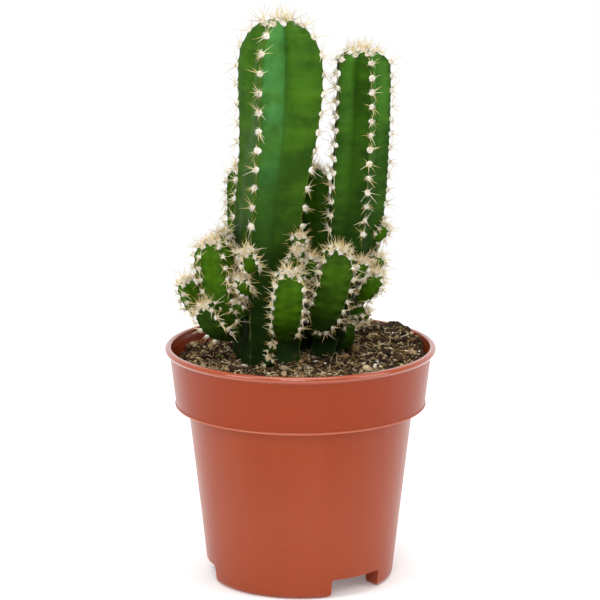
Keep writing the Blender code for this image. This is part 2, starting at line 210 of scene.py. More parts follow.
class Graph:
    """Builds a node tree, one call a node: its settings first, then the values or links of its sockets."""

    def __init__(self, tree):
        self.tree = tree

    def node(self, kind, settings=None, sockets=None, output=0):
        made = self.tree.nodes.new(kind)
        for key, value in (settings or {}).items():
            if key == "stops":
                self.set_stops(made.color_ramp, value)
            else:
                setattr(made, key, value)
        for key, value in (sockets or {}).items():
            if isinstance(value, Num):
                self.tree.links.new(value.socket, made.inputs[key])
            else:
                made.inputs[key].default_value = value
        return Num(self, made.outputs[output]) if len(made.outputs) else made

    @staticmethod
    def set_stops(ramp, stops):
        while len(ramp.elements) < len(stops):
            ramp.elements.new(1.0)
        for element, (position, colour) in zip(ramp.elements, stops):
            element.position = position
            element.color = colour

    def ramp(self, value, stops, interpolation="EASE"):
        """A colour that follows value."""
        made = self.node("ShaderNodeValToRGB", {"stops": stops}, {0: value})
        made.socket.node.color_ramp.interpolation = interpolation
        return made

    def step(self, value, low, high):
        """0 below low and 1 above high, smoothly; low may be the larger."""
        return self.node("ShaderNodeMapRange", {"interpolation_type": "SMOOTHSTEP"},
                         {0: value, 1: low, 2: high, 3: 0.0, 4: 1.0})

    def mix(self, factor, first, second):
        return self.node("ShaderNodeMix", {"data_type": "RGBA"}, {0: factor, 6: first, 7: second}, output=2)

    def layered(self, base, *layers):
        """The base colour with (factor, colour) layers laid over it in turn."""
        for factor, colour in layers:
            base = self.mix(factor, base, colour)
        return base

    def part(self, vector, axis):
        return self.node("ShaderNodeSeparateXYZ", {}, {0: vector}, output=axis)

    def vector(self, operation, *values):
        return self.node("ShaderNodeVectorMath", {"operation": operation}, dict(enumerate(values)))

    def scaled(self, vector, amount):
        return self.node("ShaderNodeVectorMath", {"operation": "SCALE"}, {0: vector, 3: amount})


class Finish(Graph):
    """A material, with the patterns that several of them share."""

    def __init__(self, name, **constants):
        self.material = bpy.data.materials.new(name)
        self.material.use_nodes = True
        super().__init__(self.material.node_tree)
        self.shader = self.tree.nodes["Principled BSDF"]
        for label, value in constants.items():
            self.shader.inputs[label.replace("_", " ")].default_value = value
        self.place = self.node("ShaderNodeTexCoord", output="Object")

    def noise(self, scale, detail, roughness, place=None):
        return self.node("ShaderNodeTexNoise", {"noise_dimensions": "3D"},
                         {"Vector": place or self.place, "Scale": scale, "Detail": detail,
                          "Roughness": roughness})

    def above(self, low, high):
        """0 at heights below low and 1 above high, mm, smoothly; low may be the larger."""
        return self.step(self.part(self.place, "Z"), low * MM, high * MM)

    def stretched(self, x, y, z):
        """Object coordinates stretched by a share along each axis."""
        return self.node("ShaderNodeMapping", {}, {"Vector": self.place, "Scale": (x, y, z)})

    def trait(self, name):
        """A number stored on the piece's points."""
        return self.node("ShaderNodeAttribute", {"attribute_name": name}, output="Fac")

    def bump(self, height, distance, strength):
        return self.node("ShaderNodeBump", {}, {"Height": height, "Distance": distance, "Strength": strength})

    def wear(self, label, value):
        """Feeds one of the shader's sockets."""
        self.tree.links.new(value.socket, self.shader.inputs[label])


def rgb(red, green, blue):
    """A linear colour from 0 to 255 display values."""
    def linear(value):
        value /= 255
        return value / 12.92 if value <= 0.04045 else ((value + 0.055) / 1.055) ** 2.4
    return linear(red), linear(green), linear(blue), 1.0


# ---- finishes


def pot_plastic():
    """Satin terracotta-coloured plastic with faint flow marks, specks and grime at the foot. Painted sheen
    makes the lip paler, a painted highlight runs along the line of flash, painted floor light pales the lower
    wall towards the foot and painted shade deepens the collar."""
    made = Finish("terracotta_plastic", Specular_IOR_Level=0.24, Coat_Roughness=0.16, Subsurface_Weight=0.06,
                  Subsurface_Radius=(1.0, 0.35, 0.2), Subsurface_Scale=0.004)
    cloud = made.noise(22.0, 3.0, 0.55)
    flow = made.noise(9.0, 2.0, 0.5, made.stretched(9.0, 9.0, 0.6))
    specks = made.step(made.noise(700.0, 2.0, 0.6), 0.72, 0.78)
    grime = made.step(made.noise(140.0, 4.0, 0.7), 0.62, 0.8) * made.above(20, 0)
    edge, under_lip = COLLAR_BOTTOM_Z, POT_HEIGHT - LIP_HEIGHT
    # The band of the line of flash, where a highlight is painted.
    flash_highlight = made.above(edge - 0.3, edge) * made.above(edge + 1.2, edge + 0.5)
    # The lip: sheen is painted on it, and it is smoother and coated.
    lip = made.above(under_lip - 1.0, under_lip + 0.4)
    made.wear("Base Color", made.layered(
        made.mix(made.step(cloud, 0.35, 0.7), rgb(142, 52, 9), rgb(147, 57, 13)),
        (made.step(flow, 0.4, 0.75) * 0.3, rgb(152, 66, 30)),
        # Painted floor light: the wall below the collar turns paler and pinker towards the foot.
        (made.above(78, 30) * 0.5, rgb(150, 68, 40)),
        (specks * 0.4, rgb(206, 150, 122)),
        (grime * 0.35, rgb(112, 66, 48)),
        # Painted shade: the collar is darker and deeper orange than the wall.
        (made.above(edge + 0.3, edge + 1.1) * 0.75, rgb(140, 46, 0)),
        # Painted highlight along the line of flash.
        (flash_highlight * 0.6, rgb(196, 118, 92)),
        # Painted sheen: a paler lip.
        (lip * 0.4, rgb(178, 92, 62))))
    scuff = made.step(made.noise(420.0, 3.0, 0.6, made.stretched(1.0, 1.0, 0.25)), 0.55, 0.75)
    made.wear("Roughness", (0.26 + cloud * 0.08 + scuff * 0.1) * (1 - lip * 0.5))
    made.wear("Coat Weight", lip * 0.9)
    grain = made.noise(900.0, 2.0, 0.5) * 0.6 + flow * 0.8
    made.wear("Normal", made.bump(grain, 0.00006, 0.5))
    return made.material


def cactus_skin(name, deep, fresh, bloom_and_sheen, waxy_and_lit_faces, foot, groove_shade, crest_shade):
    """Waxy ribbed skin, corky at the foot, with painted shade darkening the foot. The colour after fresh is
    that of the wax and also of a painted sheen, and the list after it gives the faces that carry this painted
    sheen: from and to, in turns from the first rib, and how strongly. foot: the heights between which painted
    shade darkens the skin, mm.
    groove_shade and crest_shade: how much darker grooves and crests are."""
    made = Finish(name, Specular_IOR_Level=0.06, Subsurface_Weight=0.05, Subsurface_Radius=(0.4, 1.0, 0.2),
                  Subsurface_Scale=0.002)
    share, groove, tooth, side = (made.trait(label) for label in ("share", "groove", "tooth", "side"))
    cloud = made.noise(70.0, 3.0, 0.55)
    streak = made.noise(60.0, 3.0, 0.6, made.stretched(0.8, 0.8, 3.0))
    mottle = made.noise(330.0, 4.0, 0.6)
    wave = tooth * made.step(groove, 0.9, 0.3) * made.step(streak, 0.4, 0.62)
    patchy = 0.2 + made.step(made.noise(52.0, 5.0, 0.66), 0.3, 0.66) * 0.8
    # A little wax everywhere, and the painted sheen of the soft boxes on the listed faces.
    wax_and_sheen = patchy * 0.06
    for low, high, strength in waxy_and_lit_faces:
        lit_face = made.step(side, low - 0.008, low + 0.008) * made.step(side, high + 0.02, high - 0.035)
        wax_and_sheen = wax_and_sheen + lit_face * patchy * strength
    cork = made.above(125, 100) * made.step(made.noise(190.0, 4.0, 0.7), 0.55, 0.7)
    cells = made.node("ShaderNodeTexVoronoi", {}, {"Vector": made.place, "Scale": 1500.0})
    pores = made.step(cells, 0.22, 0.05)
    ridge = made.step(groove, 0.06, 0.01) * made.step(made.noise(300.0, 3.0, 0.6), 0.35, 0.6)
    made.wear("Base Color", made.layered(
        made.mix(made.step(cloud * 0.5 + streak * 0.3 + mottle * 0.2, 0.4, 0.6), deep, fresh),
        (wave * 0.22, rgb(92, 132, 30)),
        # The wax colour and the painted sheen, fading out towards the foot.
        (wax_and_sheen * made.step(share, 0.25, 0.85), bloom_and_sheen),
        (made.step(groove, 0.86, 1.0) * groove_shade, deep),
        (made.step(groove, 0.5, 0.0) * crest_shade, rgb(24, 46, 6)),
        # Painted shade: the skin darkens towards the foot.
        (made.above(*foot) * 0.86, rgb(16, 30, 10)),
        (cork * 0.4, rgb(84, 72, 44)),
        (pores * 0.14, rgb(100, 138, 40)),
        (ridge * 0.45, rgb(116, 120, 56))))
    made.wear("Roughness", 0.5 + cloud * 0.14 + wax_and_sheen * 0.12 + ridge * 0.1)
    relief = cloud * 0.6 + mottle * 0.35 - pores * 0.12 + ridge * 0.4 + wave * 0.4
    made.wear("Normal", made.bump(relief, 0.0003, 0.65))
    return made.material


def areole_wool():
    """Felted wool, cream to white, brown in the middle of an areole."""
    made = Finish("areole_wool", Roughness=0.95, Specular_IOR_Level=0.15, Sheen_Weight=0.2,
                  Sheen_Roughness=0.5)
    rim, tint = made.trait("rim"), made.trait("tint")
    made.wear("Base Color", made.layered(
        made.mix(tint, rgb(226, 214, 192), rgb(252, 250, 242)),
        (made.step(rim, 0.55, 0.1) * (0.65 - tint * 0.5), rgb(196, 150, 104)),
        (made.step(made.noise(1700.0, 3.0, 0.6), 0.5, 0.66) * 0.45, rgb(150, 128, 96))))
    made.wear("Normal", made.bump(made.noise(2600.0, 3.0, 0.7), 0.0003, 0.8))
    return made.material


def spine_horn():
    """Straw-coloured spines, palest halfway and brown at the point."""
    made = Finish("spine_horn", Specular_IOR_Level=0.5, Subsurface_Weight=0.1,
                  Subsurface_Radius=(1.0, 0.8, 0.5), Subsurface_Scale=0.001)
    tint = made.trait("tint")
    made.wear("Base Color", made.layered(
        made.ramp(made.trait("length"), ((0.0, rgb(214, 182, 116)), (0.5, rgb(230, 206, 144)),
                                         (0.85, rgb(200, 162, 92)), (1.0, rgb(118, 80, 40)))),
        (made.step(tint, 0.5, 0.9) * 0.75, rgb(250, 244, 216)),
        (made.step(tint, 0.25, 0.0) * 0.6, rgb(156, 112, 58))))
    made.wear("Roughness", 0.38 + made.noise(800.0, 2.0, 0.5) * 0.15)
    return made.material


def peat_mix():
    """Dry peat and coir."""
    made = Finish("peat_mix", Roughness=0.95, Specular_IOR_Level=0.2)
    grain = made.noise(520.0, 5.0, 0.7)
    patch = made.noise(90.0, 3.0, 0.6)
    made.wear("Base Color", made.layered(
        made.ramp(grain, ((0.35, rgb(20, 13, 8)), (0.52, rgb(58, 42, 26)), (0.68, rgb(128, 102, 68)))),
        (made.step(patch, 0.5, 0.75) * 0.3, rgb(84, 74, 44))))
    made.wear("Normal", made.bump(grain, 0.0015, 0.9))
    return made.material


def soil_bits(name, stops, rough):
    """Loose bits on the soil, each with its own tint."""
    made = Finish(name, Roughness=rough, Specular_IOR_Level=0.25)
    grain = made.noise(1500.0, 3.0, 0.65)
    made.wear("Base Color", made.layered(made.ramp(made.trait("tint"), stops, "LINEAR"),
                                         (made.step(grain, 0.45, 0.75) * 0.45, rgb(34, 24, 16))))
    made.wear("Normal", made.bump(grain, 0.0004, 0.8))
    return made.material


def studio_paper():
    """White paper that glows a little, so that it stays white under the pot."""
    return Finish("studio_paper", Roughness=0.9, Specular_IOR_Level=0.1, Base_Color=(0.93, 0.93, 0.93, 1),
                  Emission_Color=(1, 1, 1, 1), Emission_Strength=0.18).material


# ---- meshes


def add_mesh(name, points, faces, traits=None):
    """An object in metres from points in millimetres, with a number stored on each point for each trait."""
    mesh = bpy.data.meshes.new(name)
    mesh.from_pydata((np.asarray(points, float) * MM).tolist(), [], faces)
    for label, values in (traits or {}).items():
        vector = np.ndim(values) == 2
        made = mesh.attributes.new(label, "FLOAT_VECTOR" if vector else "FLOAT", "POINT")
        made.data.foreach_set("vector" if vector else "value", np.asarray(values, np.float32).ravel())
    mesh.shade_smooth()
    made = bpy.data.objects.new(name, mesh)
    bpy.context.scene.collection.objects.link(made)
    return made


def grid_faces(rings, around):
    """Quads between rings of around points each, ring after ring."""
    faces = []
    for ring in range(rings - 1):
        low = ring * around
        for i in range(around):
            j = (i + 1) % around
            faces.append((low + i, low + j, low + around + j, low + around + i))
    return faces


def closed(name, points, around, start, end, traits=None):
    """A closed mesh of rings of around points each, whose first and last rings meet in two end points."""
    rings = len(points) // around
    faces = grid_faces(rings, around)
    for i in range(around):
        j = (i + 1) % around
        last = (rings - 1) * around
        faces += [(j, i, rings * around), (last + i, last + j, rings * around + 1)]
    return add_mesh(name, np.vstack([points, start, end]), faces, traits)


def heading(azimuth):
    """Unit direction in plan for an azimuth: 0 is the front, 90 the right."""
    angle = math.radians(azimuth)
    return math.sin(angle), -math.cos(angle)


def arc(centre, radius, start, end, steps):
    """Outline points on an arc, angles in degrees from +r towards +z."""
    points = []
    for i in range(steps + 1):
        angle = math.radians(start + (end - start) * i / steps)
        points.append((centre[0] + radius * math.cos(angle), centre[1] + radius * math.sin(angle)))
    return points


def turned(name, outline, segments):
    """Turns an outline of (radius, z) about Z. It starts and ends on the axis."""
    turns = np.radians(360 * np.arange(segments) / segments)
    points = []
    for radius, z in outline[1:-1]:
        points += np.stack([radius * np.cos(turns), radius * np.sin(turns), np.full(segments, z)], 1).tolist()
    return closed(name, points, segments, (0, 0, outline[0][1]), (0, 0, outline[-1][1]))


def face_outward(piece):
    """Points a closed mesh's faces outwards."""
    shape = bmesh.new()
    shape.from_mesh(piece.data)
    bmesh.ops.recalc_face_normals(shape, faces=shape.faces)
    shape.to_mesh(piece.data)
    shape.free()


def evaluated_mesh(piece, name):
    """The piece's mesh with its modifiers worked in."""
    graph = bpy.context.evaluated_depsgraph_get()
    mesh = bpy.data.meshes.new_from_object(piece.evaluated_get(graph), preserve_all_data_layers=True,
                                           depsgraph=graph)
    mesh.name = name
    piece.modifiers.clear()
    piece.data = mesh
    return piece


def own(piece, material, slot, *nodes):
    """Gives a finished piece its finish and its body, and hides the solids it stands for. slot is not used.
    """
    piece.data.materials.clear()
    piece.data.materials.append(material)
    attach(piece, BODY)
    if nodes:
        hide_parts(*nodes)
    return piece


# ---- pot


def wall_radius(z):
    """Radius of the wall's outer face at a height below the collar."""
    return WALL_GROUND_RADIUS + (WALL_TOP_RADIUS - WALL_GROUND_RADIUS) * z / COLLAR_BOTTOM_Z


def collar_inner_radius(z):
    """Radius of the collar's inner face at a height."""
    share = (z - COLLAR_BOTTOM_Z) / (POT_HEIGHT - LIP_HEIGHT - COLLAR_BOTTOM_Z)
    return COLLAR_BOTTOM_RADIUS + (COLLAR_TOP_RADIUS - COLLAR_BOTTOM_RADIUS) * share - WALL_THICKNESS


def pot_outline():
    """Radii and heights from the middle of the floor's underside, round the feet, up the outside, over the
    lip and back inside."""
    lip_round = LIP_HEIGHT / 2
    under_lip_z = POT_HEIGHT - LIP_HEIGHT
    shelf_z = COLLAR_BOTTOM_Z + WALL_THICKNESS
    inner_top = collar_inner_radius(under_lip_z)
    foot_centre = (wall_radius(FOOT_EDGE_ROUND) - FOOT_EDGE_ROUND, FOOT_EDGE_ROUND)
    points = [(0, FLOOR_UNDERSIDE_Z), (FOOT_INNER_RADIUS - SMALL_ROUND, FLOOR_UNDERSIDE_Z)]
    points += [(FOOT_INNER_RADIUS, FLOOR_UNDERSIDE_Z - SMALL_ROUND)]
    points += arc((FOOT_INNER_RADIUS + SMALL_ROUND, SMALL_ROUND), SMALL_ROUND, 180, 270, 4)
    points += arc(foot_centre, FOOT_EDGE_ROUND, -90, 0, 10)
    points += [(WALL_TOP_RADIUS - 0.2, COLLAR_BOTTOM_Z - 1.0), (WALL_TOP_RADIUS + 0.3, COLLAR_BOTTOM_Z)]
    points += arc((COLLAR_BOTTOM_RADIUS, COLLAR_BOTTOM_Z + FLASH_BEAD), FLASH_BEAD, -90, 60, 6)
    points += [(COLLAR_BOTTOM_RADIUS + 0.05, COLLAR_BOTTOM_Z + 1.0), (COLLAR_TOP_RADIUS, under_lip_z - 0.9)]
    points += [(COLLAR_TOP_RADIUS + 0.25, under_lip_z - 0.25)]
    points += arc((RIM_RADIUS - lip_round, POT_HEIGHT - lip_round), lip_round, -70, 90, 14)
    lip_inner_centre = (LIP_INNER_RADIUS + LIP_INNER_ROUND, POT_HEIGHT - LIP_INNER_ROUND)
    points += arc(lip_inner_centre, LIP_INNER_ROUND, 90, 180, 6)
    points += [(LIP_INNER_RADIUS - 0.1, POT_HEIGHT - 2 * LIP_INNER_ROUND), (inner_top, under_lip_z - 0.6)]
    points += [(collar_inner_radius(shelf_z), shelf_z + 0.3)]
    points += [(collar_inner_radius(shelf_z) - SMALL_ROUND, shelf_z)]
    points += [(WALL_TOP_RADIUS - WALL_THICKNESS, shelf_z)]
    return points + [(wall_radius(FLOOR_TOP_Z) - WALL_THICKNESS, FLOOR_TOP_Z), (0, FLOOR_TOP_Z)]


def notch_cutter(number):
    """A straight slot, with its lower corners rounded off, that parts two feet."""
    corner = (NOTCH_HALF_WIDTH + NOTCH_CORNER_ROUND, NOTCH_CORNER_ROUND)
    side = arc(corner, NOTCH_CORNER_ROUND, -80, -180, 8)
    side = [(side[0][0], -2.0)] + side
    side += [(NOTCH_HALF_WIDTH, NOTCH_TOP_Z - 0.8), (NOTCH_HALF_WIDTH - 0.8, NOTCH_TOP_Z)]
    profile = side + [(-across, z) for across, z in side[::-1]]
    ahead = heading(FIRST_NOTCH_AZIMUTH + 360 / NOTCH_COUNT * number)
    points = []
    for reach in (FOOT_INNER_RADIUS - NOTCH_RUN_IN, RIM_RADIUS):
        x, y = reach * ahead[0], reach * ahead[1]
        points += [(x - across * ahead[1], y + across * ahead[0], z) for across, z in profile]
    count = len(profile)
    faces = grid_faces(2, count) + [tuple(range(count))[::-1], tuple(range(count, 2 * count))]
    return add_mesh(f"notch_{number}", points, faces)


def drain_cutter(number):
    """A round drill through the floor."""
    x, y = heading(FIRST_NOTCH_AZIMUTH + 360 / DRAIN_HOLES * number)
    low, high = FLOOR_UNDERSIDE_Z - 2, FLOOR_TOP_Z + 2
    outline = [(0, low), (DRAIN_HOLE_RADIUS, low), (DRAIN_HOLE_RADIUS, high), (0, high)]
    drill = turned(f"drain_{number}", outline, 24)
    drill.data.transform(Matrix.Translation((DRAIN_CIRCLE_RADIUS * x * MM, DRAIN_CIRCLE_RADIUS * y * MM, 0)))
    return drill


def build_pot(material):
    pot = turned("nursery_pot", pot_outline(), POT_SEGMENTS)
    face_outward(pot)
    cutters = [notch_cutter(n) for n in range(NOTCH_COUNT)] + [drain_cutter(n) for n in range(DRAIN_HOLES)]
    for cutter in cutters:
        face_outward(cutter)
        cut = pot.modifiers.new(cutter.name, "BOOLEAN")
        cut.operation = "DIFFERENCE"
        cut.solver = "EXACT"
        cut.object = cutter
    evaluated_mesh(pot, "nursery_pot")
    for cutter in cutters:
        bpy.data.objects.remove(cutter, do_unlink=True)
    pot.data.shade_smooth()
    pot.data.set_sharp_from_angle(angle=math.radians(SHARP_EDGE))
    own(pot, material, "pot_plastic", "pot")


# ---- stems


def on_route(route, shares):
    """Points of a smooth curve through the route, at shares of its spans."""
    points = np.array([tuple(p) for p in route], float)
    points = np.vstack([2 * points[0] - points[1], points, 2 * points[-1] - points[-2]])
    place = np.clip(shares, 0, 0.999999) * (len(route) - 1)
    i = place.astype(int)
    t = (place - i)[:, None]
    a, b, c, d = (points[i + k] for k in range(4))
    bend, twist = 2 * a - 5 * b + 4 * c - d, 3 * b - a - 3 * c + d
    return 0.5 * (2 * b + (c - a) * t + bend * t ** 2 + twist * t ** 3)


def unit(vectors):
    return vectors / np.linalg.norm(vectors, axis=-1, keepdims=True)


def frames(stem, shares):
    """Centre, right, back and way ahead of the stem's cross-sections at shares of its route."""
    centre = on_route(stem.route, shares)
    ahead = unit(on_route(stem.route, shares + 0.01) - on_route(stem.route, shares - 0.01))
    right = unit(np.cross(np.array([0.0, 1.0, 0.0]), ahead))
    return centre, right, np.cross(ahead, right), ahead


def length_of(stem):
    return sum((Vector(b) - Vector(a)).length for a, b in zip(stem.route, stem.route[1:]))


def dome_start(stem):
    return 1 - stem.dome * stem.girth[-1] / length_of(stem)


def crest_radius(stem, shares):
    """Radius of the rib crests along the stem, with the foot drawn in and the tip domed."""
    body = np.interp(shares, np.linspace(0, 1, len(stem.girth)), stem.girth)
    foot = stem.foot + (1 - stem.foot) * np.clip(shares / 0.3, 0, 1)
    start = dome_start(stem)
    tip = np.clip((shares - start) / (1 - start), 0, 1)
    return body * foot * (1 - tip ** DOME_POWER) ** (1 / DOME_POWER)


def areole_shares(stem, rib):
    """Where a rib's areoles sit, as shares of the route, from the tip down."""
    shares = np.linspace(1, 0, 900)
    centre, right, back, _ = frames(stem, shares)
    angle = math.radians(stem.first_rib - 90 + 360 / stem.ribs * rib)
    radius = crest_radius(stem, shares)[:, None]
    line = centre + radius * (right * math.cos(angle) + back * math.sin(angle))
    run = np.concatenate([[0], np.cumsum(np.linalg.norm(np.diff(line, axis=0), axis=1))])
    shift = (rib * GOLDEN_SHARE) % 1
    places = []
    at = stem.spacing * (0.3 + 0.45 * shift)
    number = 0
    while at < run[-1] * 0.985:
        places.append(at)
        number += 1
        at += stem.spacing * (0.62 + 0.38 * min(1, number / 3))
    return np.interp(places, run, shares)


def teeth(stem, rib, shares):
    """How far the crest of a rib stands out, from 0 between areoles to 1 at one."""
    places = areole_shares(stem, rib)[::-1]
    if len(places) < 2:
        return np.zeros_like(shares)
    number = np.interp(shares, places, np.arange(len(places)))
    return (0.5 + 0.5 * np.cos(2 * math.pi * number)) ** 1.2


def section(stem, shares, reach):
    """Radius of a flank at unit crest radius. reach runs from 0 at the crest to 1 in the groove."""
    top = np.clip((shares - 0.45) / (dome_start(stem) - 0.4), 0, 1)[:, None]
    top = top * top * (3 - 2 * top)
    groove = stem.groove[0] + (stem.groove[1] - stem.groove[0]) * top
    half = math.pi / stem.ribs
    flat = groove * math.sin(half) / (groove * np.sin(half * (1 - reach)) + np.sin(half * reach))
    full = groove + (1 - groove) * (1 - reach ** 1.5)
    return flat + (full - flat) * stem.puff * top


def stem_mesh(stem, ring_gap, flank_points):
    """The stem's skin as a fine closed mesh. Its traits: share, from the foot to the tip; groove, from crest
    to groove; tooth, 1 level with an areole; side, from 0 on one flank of the first rib to 1 all round."""
    start = dome_start(stem)
    body = np.linspace(0, start, max(8, int(length_of(stem) * start / ring_gap)))
    dome_rings = max(10, int(stem.dome * stem.girth[-1] * 1.5 / ring_gap))
    dome = start + (1 - start) * np.sin(math.pi / 2 * np.arange(1, dome_rings) / dome_rings)
    shares = np.concatenate([body, dome])
    centre, right, back, _ = frames(stem, shares)
    radius = crest_radius(stem, shares)[:, None]
    down = np.linspace(0, 1, flank_points + 1)
    reach = np.concatenate([down[:-1], down[:0:-1]])[None, :]
    near_side = np.concatenate([np.ones(flank_points), np.zeros(flank_points)])[None, :] > 0
    lean = np.concatenate([down[:-1] * (1 + stem.skew), 2 - down[:0:-1] * (1 - stem.skew)])
    lean = lean[None, :] * math.pi / stem.ribs
    rounded = np.sqrt((1 - reach) ** 2 + SOFT_GROOVE ** 2) - SOFT_GROOVE
    rounded = rounded / (math.hypot(1, SOFT_GROOVE) - SOFT_GROOVE)
    sharp, soft = section(stem, shares, reach), section(stem, shares, 1 - rounded)
    fade = np.clip(radius / stem.girth[-1], 0, 1)
    turn = 2 * math.pi / stem.ribs
    points, traits = [], []
    for rib in range(stem.ribs):
        angle = math.radians(stem.first_rib - 90) + turn * rib + lean
        tooth = np.where(near_side, teeth(stem, rib, shares)[:, None],
                         teeth(stem, (rib + 1) % stem.ribs, shares)[:, None])
        relief = (tooth - 0.5) * (0.8 * (1 - reach) ** 2.4 + 0.2 * (1 - reach))
        out = radius * (soft if rib == stem.ribs - 1 else sharp) + relief * stem.tooth * fade
        points.append(centre[:, None] + out[..., None] * (
            right[:, None] * np.cos(angle)[..., None] + back[:, None] * np.sin(angle)[..., None]))
        side = (rib + lean / turn) / stem.ribs
        traits.append([np.ones_like(out) * trait for trait in (shares[:, None], reach, tooth, side)])
    points = np.concatenate(points, axis=1)
    rings, around = points.shape[:2]
    wobble = np.array([noise.noise(Vector(p) * 0.09) for p in points.reshape(-1, 3)])
    points = points + (points - centre[:, None]) * wobble.reshape(rings, around, 1) * SKIN_WOBBLE
    foot, tip = on_route(stem.route, np.array([0.0, 1.0]))
    ends = ((0, 1), (1, 1), (0, 0), (0, 0))
    traits = np.hstack([np.concatenate(traits, axis=2).reshape(len(ends), -1), ends])
    traits = dict(zip(("share", "groove", "tooth", "side"), traits))
    return closed(stem.name + "_skin", points.reshape(-1, 3), around, foot, tip, traits)


def areole_sites(stem):
    """A point for each areole, with the ways outwards and along the rib, and its size."""
    points, outward, along, size = [], [], [], []
    for rib in range(stem.ribs):
        shares = areole_shares(stem, rib)
        shares = shares[shares > stem.bare]
        angle = math.radians(stem.first_rib - 90 + 360 / stem.ribs * rib)
        ends = []
        for shift in (-0.004, 0.004, 0.0):
            at = np.clip(shares + shift, 0, 0.9995)
            centre, right, back, ahead = frames(stem, at)
            radial = right * math.cos(angle) + back * math.sin(angle)
            fade = np.clip(crest_radius(stem, at) / stem.girth[-1], 0, 1)[:, None]
            ends.append(centre + radial * (crest_radius(stem, at)[:, None] * 0.97 + 0.4 * stem.tooth * fade))
        way = unit(ends[1] - ends[0])
        out = unit(radial - way * np.sum(radial * way, axis=1, keepdims=True))
        points.append(ends[2])
        outward.append(out)
        along.append(way)
        age = np.clip((1 - shares) * length_of(stem) / (3 * stem.spacing), 0, 1)
        size.append(stem.wool * (1.12 - 0.12 * age))
    tip = on_route(stem.route, np.array([0.999]))
    _, right, _, ahead = frames(stem, np.array([0.98]))
    points.append(tip - ahead * 0.4)
    outward.append(ahead)
    along.append(right)
    size.append(np.array([stem.wool * 1.1]))
    joined = [np.concatenate(part) for part in (points, outward, along, size)]
    traits = {"outward": joined[1], "along": joined[2], "size": joined[3]}
    return joined[0], traits


# ---- geometry node trees


FULL_TURN = 6.283         # radians


